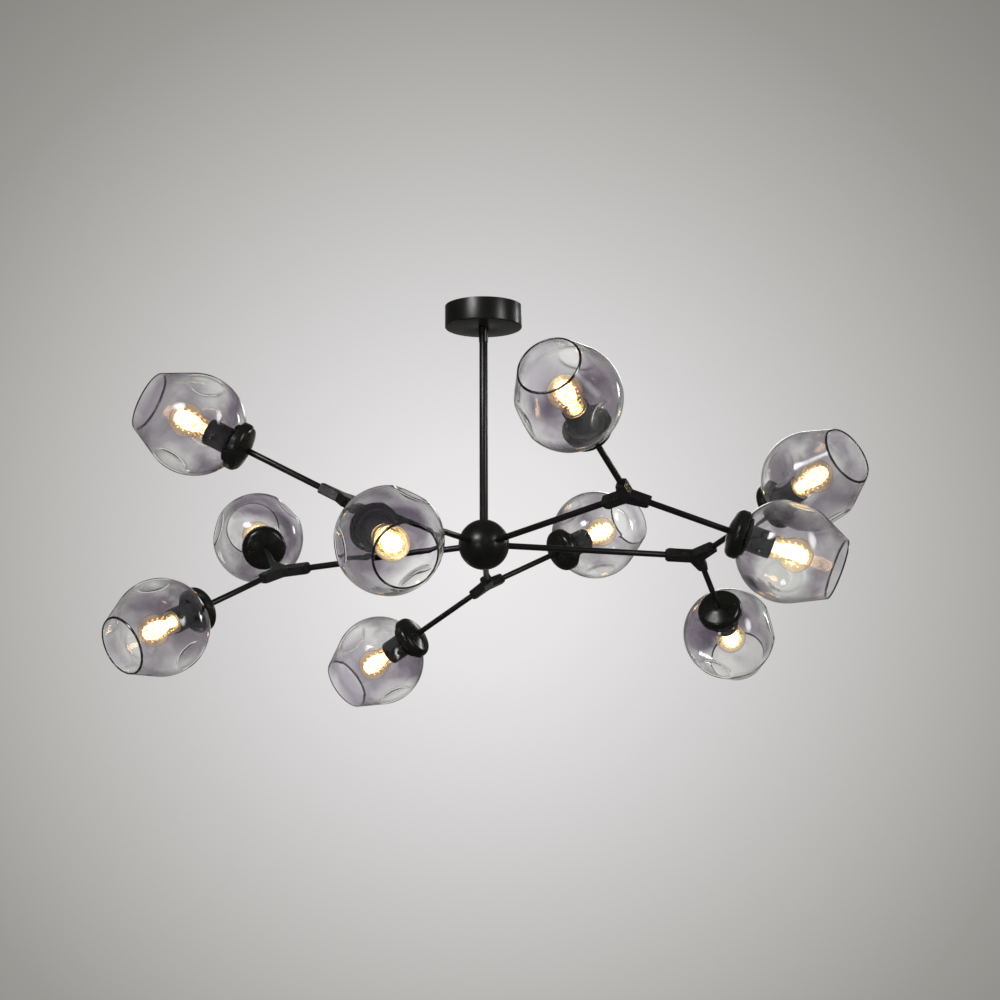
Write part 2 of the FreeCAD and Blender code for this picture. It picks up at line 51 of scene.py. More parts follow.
SIDES = {"up": 1, "down": -1}
# Azimuth and rise of the arm, turn of its fork, turns of the upper and the lower glass, in degrees.
FORKS = {
    "a": (233.9, 3.4, 150.2, 88, 60),
    "b": (160.8, -3.8, 151.9, 1, 66),
    "c": (307.3, 4.0, 155.9, 54, 33),
    "d": (13.6, -0.9, 155.1, 85, 93),
    "e": (89.5, -1.4, 149.6, 84, 107),
}

# Clearances: tube in bore, pieces seated on one another, screwed bulb base.
FIT = 0.05
SEAT = 0.3
THREAD_GAP = 0.35

CANOPY_RADIUS = 60
CANOPY_HEIGHT = 35
CANOPY_WALL = 1.2
SCREW_RADIUS = 2
SCREW_HEIGHT = -10
SCREW_BORE = 8
BALL_RADIUS = 39
# How far the stem and the arms go into the ball.
BALL_SEAT = 14
STEM_RADIUS = 6.5
STEM_WALL = 1.5
STEM_ABOVE_FLOOR = 12
STEM_ENDS = (HUB_HEIGHT + BALL_RADIUS - BALL_SEAT, CANOPY_WALL - CANOPY_HEIGHT + STEM_ABOVE_FLOOR)
SLEEVE_HEIGHT = 23
SLEEVE_RADIUS = 8
SLEEVE_WAIST = 7.4
SLEEVE_END = 7
# How far under the canopy the sleeve starts to narrow, and where its waist is.
SLEEVE_STRAIGHT = 3.2
SLEEVE_WAIST_DEPTH = 12

# Fork: from its centre to the end of each leg, and how far the tubes go into the legs.
TUBE_WALL = 1
MAIN_LEG = 54
BRANCH_LEG = 33
ARM_INSERT = 30
BRANCH_INSERT = 20
ARM_RADIUS = 4.8
ARM_ENDS = (BALL_RADIUS - BALL_SEAT, ARM_REACH - MAIN_LEG + ARM_INSERT)
FORK_THICKNESS = 15.5
GRUB_RADIUS = 2
GRUB_LENGTH = 2.2
GRUB_RECESS = 0.4
GRUB_INSET = 8.5

GLASS_RADIUS = 75
GLASS_WALL = 2.4
NECK_PLANE = -68
NECK_HOLE = 21
# The neck's edge is cut off between a point on its flat face and one on the globe, inwards and along.
NECK_CUT = (1.5, 1)
MOUTH_PLANE = 78
MOUTH_TAPER = math.radians(26)
# The polished rim, whose glass is painted dark as painted shade, takes up this much of the glass below the
# mouth.
RIM_HEIGHT = 2.6
DENTS = 3
DENT_RADIUS = 60
DENT_RIM = 26
DENT_BLEND = 2.2
# How far from a dent's axis, in radians, the blown glass is thin and clear.
THIN_INSIDE = 0.30
THIN_OUTSIDE = 0.75

CAP_CROWN = -90
CAP_FLAT = 10
CAP_FALL = 7
CAP_BEND = 30
CAP_ROUND = 10
CAP_RADIUS = 36
CAP_STEP = 0.5
CAP_STEP_HEIGHT = 2.7
CAP_LIP = 7
CAP_SHEET = 1.2

BULB_RADIUS = 25
BULB_CENTRE = 14
BULB_NECK = 17
BULB_PLANE = -23
# The hollow blend from neck to globe: its radius, the height of its centre and its turn in degrees.
BULB_BLEND = 20
BULB_WAIST = -11.6
BULB_TURN = 34.6
BASE_RADIUS = 13
BASE_TOP = -24
BASE_SHOULDER = 12.6
THREAD_PITCH = 3.6
THREAD_DEPTH = 0.45
THREAD_STEP = 0.3
THREAD_STEPS = 66
INSULATOR_RADIUS = 12.2
INSULATOR_TOP = -44.2
CONTACT_RADII = (5.8, 5.5)
CONTACT_TOP = -49.6
CONTACT_END = -51
# The seams of nickel, glass and brass lie this far below the corners where each part begins.
SEAM_DROP = 0.2

HOLDER_TOP = CAP_CROWN + CAP_SHEET + SEAT
HOLDER_COLLAR = 9
HOLDER_COLLAR_HEIGHT = 3
HOLDER_SHOULDER = 6
HOLDER_ENTRY = 8
HOLDER_RADIUS = 19.5
HOLDER_MOUTH = BULB_PLANE - SEAT
FLANGE_RADIUS = 26
FLANGE_THICKNESS = 3
WIRE_HOLE = 3
SHELL_RADIUS = BASE_RADIUS + THREAD_GAP
SHELL_FLOOR = CONTACT_END - SEAT
# The lampholder's end, sunk between a raised edge and the screw shell.
INLAY_RADII = (17.6, 17.2)
INLAY_DEPTH = 1.3
RING_HEIGHT = 6
RING_TOP = NECK_PLANE + GLASS_WALL + SEAT
RING_END = RING_TOP + RING_HEIGHT
RING_GROOVE = RING_END - 1.3
RING_RADIUS = 28
RING_FACE = 24
RING_INSIDE = 23
RING_HOLE = HOLDER_RADIUS + FIT
BRANCH_RADIUS = 4.6
BRANCH_ENDS = (BRANCH_LEG - BRANCH_INSERT, LAMP_REACH + CAP_CROWN + HOLDER_ENTRY)


# ---- frames ----

def spin(degrees, axis):
    return Matrix.Rotation(math.radians(degrees), 4, axis)


def shift(x=0, y=0, z=0):
    return Matrix.Translation(Vector((x, y, z)) * MM)


HUB = shift(z=HUB_HEIGHT)
LAMP_TO_X = Matrix.Rotation(math.pi, 4, Vector((1, 0, 1)))
TUBE_TO_X = spin(90, "Y")


def arm_frame(letter):
    azimuth, rise = FORKS[letter][:2]
    return HUB @ spin(azimuth, "Z") @ spin(-rise, "Y")


def fork_frame(letter):
    return arm_frame(letter) @ shift(ARM_REACH) @ spin(FORKS[letter][2], "X")


def branch_frame(letter, side):
    return fork_frame(letter) @ spin(SIDES[side] * BRANCH_ANGLE, "Z")


def lamp_frame(letter, side):
    return branch_frame(letter, side) @ shift(LAMP_REACH) @ LAMP_TO_X


def shade_frame(letter, side):
    clock = FORKS[letter][3 if side == "up" else 4]
    return lamp_frame(letter, side) @ spin(180 / DENTS - clock, "Z")


# ---- meshes ----

# Edges that turn by more than this, in degrees, stay sharp.
SHARP_ANGLE = 35


def new_object(name, data):
    item = bpy.data.objects.new(name, data)
    bpy.context.scene.collection.objects.link(item)
    return item


def rounded(corners, closed=True, steps=5):
    """Points of a profile from corners (radius, height, fillet)."""
    points = []
    last = len(corners) - 1
    for index, (radius, height, fillet) in enumerate(corners):
        spot = Vector((radius, height))
        if fillet == 0 or (not closed and index in (0, last)):
            points.append(spot)
            continue
        before = (Vector(corners[index - 1][:2]) - spot).normalized()
        after = (Vector(corners[(index + 1) % len(corners)][:2]) - spot).normalized()
        half = before.angle(after) / 2
        reach = fillet / math.tan(half)
        centre = spot + (before + after).normalized() * fillet / math.sin(half)
        start = spot + before * reach - centre
        end = spot + after * reach - centre
        points += [centre + start.normalized().slerp(end.normalized(), step / steps) * fillet
                   for step in range(steps + 1)]
    return points


def arc(centre, radius, start, end, steps):
    """Points round a centre from one angle to another, in degrees."""
    turns = [math.radians(start + (end - start) * step / steps) for step in range(steps + 1)]
    return [Vector(centre) + Vector((math.cos(turn), math.sin(turn))) * radius for turn in turns]


def line(start, end, steps):
    """Points between two ends, without them."""
    return [Vector(start).lerp(Vector(end), step / steps) for step in range(1, steps)]


def finished(mesh, name, materials, zone=None, sharp=SHARP_ANGLE):
    """The mesh as data, smooth but for its sharp edges. zone picks a material by a face's centre, in mm."""
    bmesh.ops.remove_doubles(mesh, verts=mesh.verts, dist=1e-7)
    bmesh.ops.recalc_face_normals(mesh, faces=mesh.faces)
    if zone:
        for face in mesh.faces:
            face.material_index = zone(face.calc_center_median() / MM)
    data = bpy.data.meshes.new(name)
    mesh.to_mesh(data)
    mesh.free()
    for material in materials:
        data.materials.append(material)
    data.shade_smooth()
    data.set_sharp_from_angle(angle=math.radians(sharp))
    return data


def lathe(name, profile, materials, segments=96, closed=True, form=None, **finish):
    """A profile of (radius, height) turned about Z. form moves each point, in millimetres."""
    mesh = bmesh.new()
    rings = []
    for count in range(segments):
        angle = math.tau * count / segments
        spots = [Vector((radius * math.cos(angle), radius * math.sin(angle), height))
                 for radius, height in profile]
        if form:
            spots = [form(spot, index) for index, spot in enumerate(spots)]
        rings.append([mesh.verts.new(spot * MM) for spot in spots])
    steps = len(profile) if closed else len(profile) - 1
    for here, there in zip(rings, rings[1:] + rings[:1]):
        for index in range(steps):
            after = (index + 1) % len(profile)
            mesh.faces.new((here[index], there[index], there[after], here[after]))
    return finished(mesh, name, materials, **finish)


def tube_mesh(name, radius, ends, material, wall=TUBE_WALL, chamfer=0.3):
    start, end = ends
    profile = rounded([(radius - wall, start, 0), (radius, start, chamfer), (radius, end, chamfer),
                       (radius - wall, end, 0)], steps=2)
    return lathe(name, profile, [material], segments=48)


def bored(data, bores):
    """The mesh with round holes, each the matrix of its middle, its radius and its length, in millimetres."""
    blank = new_object("blank", data)
    drills = []
    for matrix, radius, length in bores:
        mesh = bmesh.new()
        wide = radius * MM
        bmesh.ops.create_cone(mesh, cap_ends=True, segments=48, radius1=wide, radius2=wide, depth=length * MM)
        drill = new_object("drill", finished(mesh, "drill", []))
        drill.matrix_world = matrix
        drills.append(drill)
    for drill in drills:
        cut = blank.modifiers.new("bore", "BOOLEAN")
        cut.object = drill
        cut.solver = "EXACT"
    depsgraph = bpy.context.evaluated_depsgraph_get()
    result = bpy.data.meshes.new_from_object(blank.evaluated_get(depsgraph), depsgraph=depsgraph)
    for item in [blank, *drills]:
        bpy.data.objects.remove(item)
    result.set_sharp_from_angle(angle=math.radians(SHARP_ANGLE))
    return result


def place(name, data, matrix, body, replaces=()):
    """A copy of the mesh as a piece of its own, with its place in its points, as the frame's nodes have."""
    shaped = data.copy()
    shaped.transform(matrix)
    item = new_object(name, shaped)
    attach(item, body)
    if replaces:
        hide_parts(*replaces)
    return item


# ---- materials ----

def srgb(*levels):
    """Linear colour from sRGB levels of 0 to 255."""
    shares = [level / 255 for level in levels]
    return [share / 12.92 if share <= 0.04045 else ((share + 0.055) / 1.055) ** 2.4 for share in shares]


def add_node(tree, kind, inputs=(), **settings):
    """A new node with its settings, and its inputs set to values or linked to sockets."""
    node = tree.nodes.new(kind)
    for setting, value in settings.items():
        setattr(node, setting, value)
    for socket, value in dict(inputs).items():
        if isinstance(value, bpy.types.NodeSocket):
            tree.links.new(value, node.inputs[socket])
        else:
            node.inputs[socket].default_value = value
    return node


def add_ramp(tree, value, stops):
    """A colour that follows a value through stops (position, colour)."""
    node = add_node(tree, "ShaderNodeValToRGB", {"Fac": value})
    elements = node.color_ramp.elements
    for position, _ in stops[2:]:
        elements.new(position)
    for element, (position, colour) in zip(elements, stops):
        element.position = position
        element.color = (*colour, 1)
    return node.outputs["Color"]


class Surface:
    """A material of one Principled shader, with helpers that hang textures on its sockets."""

    def __init__(self, name, **values):
        self.material = bpy.data.materials.new(name)
        self.material.use_nodes = True
        self.tree = self.material.node_tree
        self.shader = self.tree.nodes["Principled BSDF"]
        for socket, value in values.items():
            self.shader.inputs[socket.replace("_", " ")].default_value = value
        self.spots = self.add("ShaderNodeTexCoord").outputs["Object"]

    def add(self, kind, inputs=(), **settings):
        return add_node(self.tree, kind, inputs, **settings)

    def ramp(self, value, stops):
        return add_ramp(self.tree, value, stops)

    def noise(self, size, detail=3, distortion=0):
        """Noise whose features are about size millimetres."""
        inputs = {"Vector": self.spots, "Scale": 1 / (size * MM), "Detail": detail, "Distortion": distortion}
        return self.add("ShaderNodeTexNoise", inputs).outputs["Fac"]

    def spread(self, value, low, high, start=0.35, end=0.65):
        """A value between start and end, stretched to run from low to high."""
        inputs = {"Value": value, "From Min": start, "From Max": end, "To Min": low, "To Max": high}
        return self.add("ShaderNodeMapRange", inputs).outputs["Result"]

    def mix(self, factor, first, second):
        """Two colours mixed. The node's sockets 6 and 7 take the colours, and socket 2 gives the result."""
        inputs = {"Factor": factor, 6: first, 7: second}
        return self.add("ShaderNodeMix", inputs, data_type="RGBA").outputs[2]

    def link(self, socket, value):
        self.tree.links.new(value, self.shader.inputs[socket])

    def bump(self, height, depth):
        """Bump of about depth millimetres."""
        inputs = {"Height": height, "Distance": depth * MM, "Strength": 1.0}
        self.link("Normal", self.add("ShaderNodeBump", inputs).outputs["Normal"])


def paint(name, dark, light, gloss, grain, depth):
    """Sprayed paint: fine orange peel, cloudy gloss and a little dust in its colour."""
    surface = Surface(name, Specular_IOR_Level=0.34)
    shades = [(0.35, srgb(*dark)), (0.75, srgb(*light))]
    surface.link("Base Color", surface.ramp(surface.noise(26, 6), shades))
    surface.link("Roughness", surface.spread(surface.noise(14, 5), *gloss))
    surface.bump(surface.noise(grain, 2), depth)
    return surface.material


BLACK = paint("black_paint", (13, 13, 12), (19, 19, 17), (0.28, 0.33), 1.6, 0.006)
GLOSS_BLACK = paint("cap_paint", (12, 12, 10), (20, 20, 16), (0.18, 0.28), 2.2, 0.01)
CAST_BLACK = paint("cast_paint", (15, 15, 14), (26, 26, 25), (0.26, 0.38), 0.9, 0.04)


def moulding():
    """Matt heat-proof moulding with a fine spark-eroded grain."""
    surface = Surface("black_moulding", Specular_IOR_Level=0.25)
    shades = [(0.3, srgb(15, 16, 18)), (0.7, srgb(22, 23, 25))]
    surface.link("Base Color", surface.ramp(surface.noise(9, 8), shades))
    surface.link("Roughness", surface.spread(surface.noise(6, 5), 0.55, 0.68))
    surface.bump(surface.noise(0.5, 3), 0.04)
    return surface.material


def metal(name, colour, gloss, grain):
    surface = Surface(name, Metallic=1)
    shades = [(0.3, [level * 0.85 for level in colour]), (0.7, colour)]
    surface.link("Base Color", surface.ramp(surface.noise(5, 6), shades))
    surface.link("Roughness", surface.spread(surface.noise(grain, 4), *gloss))
    surface.bump(surface.noise(grain, 3), 0.01)
    return surface.material


def plastic(name, colour):
    surface = Surface(name, Subsurface_Weight=0.1)
    shades = [(0.3, [level * 0.92 for level in colour]), (0.7, colour)]
    surface.link("Base Color", surface.ramp(surface.noise(12, 4), shades))
    surface.link("Roughness", surface.spread(surface.noise(4, 4), 0.35, 0.5))
    surface.bump(surface.noise(0.8, 2), 0.02)
    return surface.material


# The smoke of the glass along its axis: height in millimetres, sRGB of one wall seen through.
SMOKE = [
    (-68, (138, 131, 139)),
    (-48, (148, 140, 151)),
    (-22, (206, 202, 208)),
    (10, (230, 228, 231)),
    (34, (204, 199, 207)),
    (58, (186, 180, 190)),
    (78, (228, 225, 229)),
]
CLEAR_GLASS = (254, 255, 253)


def share_along(height):
    """How far a height lies from the neck of the glass, 0, to its mouth, 1."""
    return (height - NECK_PLANE) / (MOUTH_PLANE - NECK_PLANE)


def smoked_glass():
    """Clear in the dents and smoky towards neck and mouth, with the slow waves of blown glass."""
    surface = Surface("smoked_glass", Transmission_Weight=1, IOR=1.48, Roughness=0.0)
    swirl = surface.spread(surface.noise(70, 3, 0.6), -0.08, 0.08, 0.3, 0.7)
    along = surface.add("ShaderNodeAttribute", attribute_name="along").outputs["Fac"]
    drifted = surface.add("ShaderNodeMath", {0: along, 1: swirl}, operation="ADD").outputs[0]
    smoke = surface.ramp(drifted, [(share_along(height), srgb(*shade)) for height, shade in SMOKE])
    thin = surface.add("ShaderNodeAttribute", attribute_name="thin").outputs["Fac"]
    wisps = surface.spread(surface.noise(30, 2, 1.2), -0.15, 0.15, 0.3, 0.7)
    patches = surface.spread(surface.noise(95, 1, 0.6), -0.35, 0.75, 0.36, 0.62)
    drift = surface.add("ShaderNodeMath", {0: patches, 1: wisps}, operation="ADD").outputs[0]
    clear = surface.add("ShaderNodeMath", {0: thin, 1: drift}, operation="ADD", use_clamp=True).outputs[0]
    surface.link("Base Color", surface.mix(clear, smoke, (*srgb(*CLEAR_GLASS), 1)))
    surface.bump(surface.noise(34, 1), 0.5)
    return surface.material


def painted_dark_rim_glass():
    """The cut and fire-polished edge of the mouth, its colour painted dark: painted shade for the light that
    goes round inside the wall.
    """
    surface = Surface("painted_dark_rim_glass", Transmission_Weight=0.35, IOR=1.5, Coat_Weight=0.6, Coat_Roughness=0.05)
    shades = [(0.4, srgb(12, 11, 12)), (0.7, srgb(46, 43, 44))]
    surface.link("Base Color", surface.ramp(surface.noise(8, 4), shades))
    surface.link("Roughness", surface.spread(surface.noise(6, 3), 0.06, 0.16))
    return surface.material


def bulb_glass():
    """Clear glass with a faint warm painted glow, standing in for the core's light caught in the glass."""
    surface = Surface("bulb_glass", Transmission_Weight=1, IOR=1.45, Roughness=0.0,
                      Emission_Color=(1, 0.72, 0.38, 1), Emission_Strength=0.05)
    shades = [(0.3, srgb(255, 246, 232)), (0.7, srgb(250, 240, 222))]
    surface.link("Base Color", surface.ramp(surface.noise(20, 3), shades))
    surface.bump(surface.noise(18, 1), 0.15)
    return surface.material


def lit(name, colours, strength, size):
    """A glowing surface speckled between colours."""
    surface = Surface(name, Roughness=0.4, Base_Color=(0.8, 0.5, 0.2, 1), Emission_Strength=strength)
    stops = [(0.36 + 0.14 * index, colour) for index, colour in enumerate(colours)]
    surface.link("Emission Color", surface.ramp(surface.noise(size, 2), stops))
    return surface.material


MOULDING = moulding()
SMOKED = smoked_glass()
# Glass of the mouth's rim, painted dark: painted shade.
RIM_PAINTED_DARK = painted_dark_rim_glass()
# Clear bulb glass with a faint painted glow.
BULB_GLASS_PAINTED_GLOW = bulb_glass()
NICKEL = metal("nickel", srgb(205, 198, 184), (0.16, 0.3), 2.5)
ZINC = metal("zinc_steel", srgb(176, 178, 180), (0.28, 0.45), 7)
BRASS = metal("brass", srgb(214, 178, 104), (0.2, 0.35), 3)
BLACK_GLASS = paint("black_glass", (10, 10, 12), (16, 16, 18), (0.08, 0.15), 3, 0.01)
TERMINAL = plastic("terminal_plastic", srgb(226, 222, 210))
CORE = lit("bulb_core", [(1.0, 0.52, 0.10), (1.0, 0.80, 0.42), (1.0, 0.93, 0.78)], 7.0, 5)
BEADS = lit("bulb_beads", [(1.0, 0.40, 0.04), (1.0, 0.62, 0.12)], 1.6, 3)


# ---- canopy, stem and hub ----

def soften(node, material, width=0.4, segments=3):
    """Keep a node of the frame, with rounded edges and a material of the scene."""
    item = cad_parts[node]
    item.data.materials.clear()
    item.data.materials.append(material)
    bevel = item.modifiers.new("soft_edges", "BEVEL")
    bevel.width = width * MM
    bevel.segments = segments
    bevel.limit_method = "ANGLE"
    bevel.angle_limit = math.radians(32)


def make_canopy():
    hole = STEM_RADIUS + FIT
    inside = CANOPY_RADIUS - CANOPY_WALL
    profile = rounded([
        (hole, -CANOPY_HEIGHT, 0.3),
        (CANOPY_RADIUS, -CANOPY_HEIGHT, 2),
        (CANOPY_RADIUS, 0, 0.4),
        (inside, 0, 0.3),
        (inside, CANOPY_WALL - CANOPY_HEIGHT, 0.8),
        (hole, CANOPY_WALL - CANOPY_HEIGHT, 0.2),
    ])
    holes = [(shift(CANOPY_RADIUS * side, 0, SCREW_HEIGHT) @ TUBE_TO_X, SCREW_RADIUS + FIT, SCREW_BORE)
             for side in (1, -1)]
    data = bored(lathe("canopy_shell", profile, [BLACK], segments=160), holes)
    place("canopy_shell", data, Matrix.Identity(4), "frame", ["canopy"])
    soften("ceiling_bracket", ZINC)
    soften("terminal_block", TERMINAL, 0.8)
    soften("canopy_screws", ZINC, 0.3)
    soften("stem_nut", ZINC)


def make_stem():
    data = tube_mesh("stem_pipe", STEM_RADIUS, STEM_ENDS, BLACK, wall=STEM_WALL)
    place("stem_pipe", data, Matrix.Identity(4), "frame", ["stem_tube"])
    top = -CANOPY_HEIGHT
    end = top - SLEEVE_HEIGHT
    hole = STEM_RADIUS + FIT
    profile = rounded([
        (hole, end, 0.1),
        (SLEEVE_END, end, 0.2),
        (SLEEVE_WAIST, top - SLEEVE_WAIST_DEPTH, 6),
        (SLEEVE_RADIUS, top - SLEEVE_STRAIGHT, 0.4),
        (SLEEVE_RADIUS, top, 0.3),
        (hole, top, 0),
    ])
    data = lathe("stem_sleeve", profile, [BLACK], segments=64)
    place("stem_sleeve", data, Matrix.Identity(4), "frame", ["stem_collar"])


def make_ball():
    """A turned ball, bored for the stem and the arms."""
    data = lathe("hub_sphere", arc((0, 0), BALL_RADIUS, -90, 90, 64), [BLACK], segments=128, closed=False)
    length = 2 * BALL_SEAT
    bores = [(shift(z=BALL_RADIUS), STEM_RADIUS + FIT, length)]
    for letter in FORKS:
        mouth = HUB.inverted() @ arm_frame(letter) @ shift(BALL_RADIUS) @ TUBE_TO_X
        bores.append((mouth, ARM_RADIUS + FIT, length))
    place("hub_sphere", bored(data, bores), HUB, "frame", ["hub_ball"])


def make_arms():
    data = tube_mesh("arm_pipe", ARM_RADIUS, ARM_ENDS, BLACK)
    for letter in FORKS:
        matrix = arm_frame(letter) @ TUBE_TO_X
        place("arm_pipe_" + letter, data, matrix, "frame", ["main_arms"])


# ---- pieces of one lamp, in the lamp frame ----

def skin(radius, neck):
    """Half section of one skin, from the neck hole to where the rim begins."""
    along = Vector((-math.sin(MOUTH_TAPER), math.cos(MOUTH_TAPER)))
    middle = GLASS_RADIUS - GLASS_WALL / 2
    rise = (MOUTH_PLANE - GLASS_WALL / 2 - middle * math.sin(MOUTH_TAPER)) / math.cos(MOUTH_TAPER)
    low = math.degrees(math.asin((neck + NECK_CUT[1]) / radius))
    shoulder = Vector((math.sqrt(radius ** 2 - neck ** 2) - NECK_CUT[0], neck))
    belly = arc((0, 0), radius, low, math.degrees(MOUTH_TAPER), 50)
    start = belly[-1]
    flat = [Vector((NECK_HOLE, neck))] + line((NECK_HOLE, neck), shoulder, 4) + [shoulder]
    return flat + belly + line(start, start + along * rise, 22) + [start + along * rise]


DENT_AXES = [spin((360 * count + 180) / DENTS, "Z") @ Vector((1, 0, 0)) for count in range(DENTS)]


def dented(spot, dent_radius):
    """Where a point of a skin lies once the belly is pressed in."""
    distance = math.sqrt(GLASS_RADIUS ** 2 - DENT_RIM ** 2) + math.sqrt(DENT_RADIUS ** 2 - DENT_RIM ** 2)
    for axis in DENT_AXES:
        height = spot.dot(axis)
        aside = spot.length_squared - height ** 2
        if height <= 0 or aside >= (dent_radius - 1) ** 2:
            continue
        pressed = distance - math.sqrt(dent_radius ** 2 - aside)
        blend = max(DENT_BLEND - abs(pressed - height), 0) / DENT_BLEND
        spot = spot + axis * (min(pressed, height) - blend ** 2 * DENT_BLEND / 4 - height)
    return spot


def shade_mesh():
    """Blown glass of even wall: two skins joined at the neck hole and round the polished rim."""
    outer = skin(GLASS_RADIUS, NECK_PLANE)
    inner = skin(GLASS_RADIUS - GLASS_WALL, NECK_PLANE + GLASS_WALL)
    taper = math.degrees(MOUTH_TAPER)
    rim = arc((outer[-1] + inner[-1]) / 2, GLASS_WALL / 2, taper, taper + 180, 8)[1:-1]
    profile = outer + rim + inner[::-1]
    edge = len(outer) + len(rim) / 2

    def press(spot, index):
        return dented(spot, DENT_RADIUS if index < edge else DENT_RADIUS + GLASS_WALL)

    data = lathe("shade", profile, [SMOKED, RIM_PAINTED_DARK], segments=192, form=press,
                 zone=lambda centre: int(centre.z > MOUTH_PLANE - RIM_HEIGHT), sharp=50)
    data.attributes.new("along", "FLOAT", "POINT")
    data.attributes.new("thin", "FLOAT", "POINT")
    for count, vertex in enumerate(data.vertices):
        nearest = min(vertex.co.angle(axis) for axis in DENT_AXES)
        thin = (THIN_OUTSIDE - nearest) / (THIN_OUTSIDE - THIN_INSIDE)
        data.attributes["along"].data[count].value = share_along(vertex.co.z / MM)
        data.attributes["thin"].data[count].value = max(0, min(1, thin))
    return data


def cap_mesh():
    """A pressed dome that falls from a small flat to a round edge, with a rolled step above its lip."""
    hole = BRANCH_RADIUS + FIT
    inside = CAP_RADIUS - CAP_SHEET
    step = CAP_RADIUS - CAP_STEP
    lip = CAP_RADIUS - CAP_LIP
    front = NECK_PLANE - SEAT
    groove = front - CAP_STEP_HEIGHT
    profile = rounded([
        (hole, CAP_CROWN + CAP_SHEET, 0.2),
        (hole, CAP_CROWN, 0.3),
        (CAP_FLAT, CAP_CROWN, CAP_BEND),
        (CAP_RADIUS, CAP_CROWN + CAP_FALL, CAP_ROUND),
        (CAP_RADIUS, groove - 0.6, 0.2),
        (step, groove - 0.2, 0.2),
        (step, groove + 0.2, 0.2),
        (CAP_RADIUS, groove + 0.6, 0.3),
        (CAP_RADIUS, front, 0.6),
        (lip, front, 0.3),
        (lip, front - CAP_SHEET, 0.3),
        (inside - 0.6, front - CAP_SHEET, 0.4),
        (inside, CAP_CROWN + CAP_FALL + CAP_SHEET, CAP_ROUND - CAP_SHEET),
        (CAP_FLAT, CAP_CROWN + CAP_SHEET, CAP_BEND - CAP_SHEET),
    ], steps=8)
    return lathe("cap", profile, [GLOSS_BLACK], segments=128)


def holder_mesh():
    """The pot of the lampholder, with a collar for the tube, a flange and its screw shell's mouth."""
    hole = BRANCH_RADIUS + FIT
    entry = HOLDER_ENTRY + SEAT + CAP_CROWN
    collar_end = HOLDER_TOP + HOLDER_COLLAR_HEIGHT
    flange = NECK_PLANE - SEAT
    behind = flange - FLANGE_THICKNESS
    inlay = HOLDER_MOUTH - INLAY_DEPTH
    profile = rounded([
        (hole, HOLDER_TOP, 0.2),
        (HOLDER_COLLAR, HOLDER_TOP, 0.6),
        (HOLDER_COLLAR, collar_end, 1),
        (HOLDER_RADIUS, collar_end + HOLDER_SHOULDER, 0.4),
        (HOLDER_RADIUS, behind, 0.4),
        (FLANGE_RADIUS, behind, 0.4),
        (FLANGE_RADIUS, flange, 0.4),
        (HOLDER_RADIUS, flange, 0.3),
        (HOLDER_RADIUS, HOLDER_MOUTH, 0.7),
        (INLAY_RADII[0], HOLDER_MOUTH, 0.4),
        (INLAY_RADII[1], inlay, 0.4),
        (SHELL_RADIUS, inlay, 0.4),
        (SHELL_RADIUS, SHELL_FLOOR, 0.3),
        (WIRE_HOLE, SHELL_FLOOR, 0.1),
        (WIRE_HOLE, entry, 0.1),
        (hole, entry, 0),
    ])
    return lathe("lampholder", profile, [MOULDING], segments=96)


def ring_mesh(ribs=40, rib_depth=0.7):
    """The shade ring, ribbed round its edge for the fingers."""
    profile = rounded([
        (RING_HOLE, RING_TOP, 0.3),
        (RING_RADIUS, RING_TOP, 0.7),
        (RING_RADIUS, RING_END, 0.9),
        (RING_FACE, RING_END, 0.5),
        (RING_INSIDE, RING_GROOVE, 0.4),
        (RING_HOLE, RING_GROOVE, 0.3),
    ], steps=3)
    steepness = 1.8

    def ribbed(spot, index):
        flat = Vector((spot.x, spot.y))
        if flat.length < RING_RADIUS - 1.5:
            return spot
        wave = math.cos(math.atan2(spot.y, spot.x) * ribs)
        depth = rib_depth * (0.5 - 0.5 * max(-1, min(1, wave * steepness)))
        flat = flat.normalized() * (flat.length - depth)
        return Vector((flat.x, flat.y, spot.z))

    return lathe("shade_ring", profile, [MOULDING], segments=ribs * 8, form=ribbed)


def bulb_profile(inset):
    """Half section of the bulb's glass, from its plane to its tip."""
    globe = arc((0, BULB_CENTRE), BULB_RADIUS - inset, -BULB_TURN, 90, 26)
    hollow = (BULB_NECK + BULB_BLEND, BULB_WAIST)
    blend = arc(hollow, BULB_BLEND + inset, 180, 180 - BULB_TURN, 10)
    return [Vector((BULB_NECK - inset, BULB_PLANE))] + blend[:-1] + globe


def envelope_mesh(wall=0.7):
    profile = bulb_profile(0) + bulb_profile(wall)[::-1]
    return lathe("bulb_envelope", profile, [BULB_GLASS_PAINTED_GLOW], segments=80)


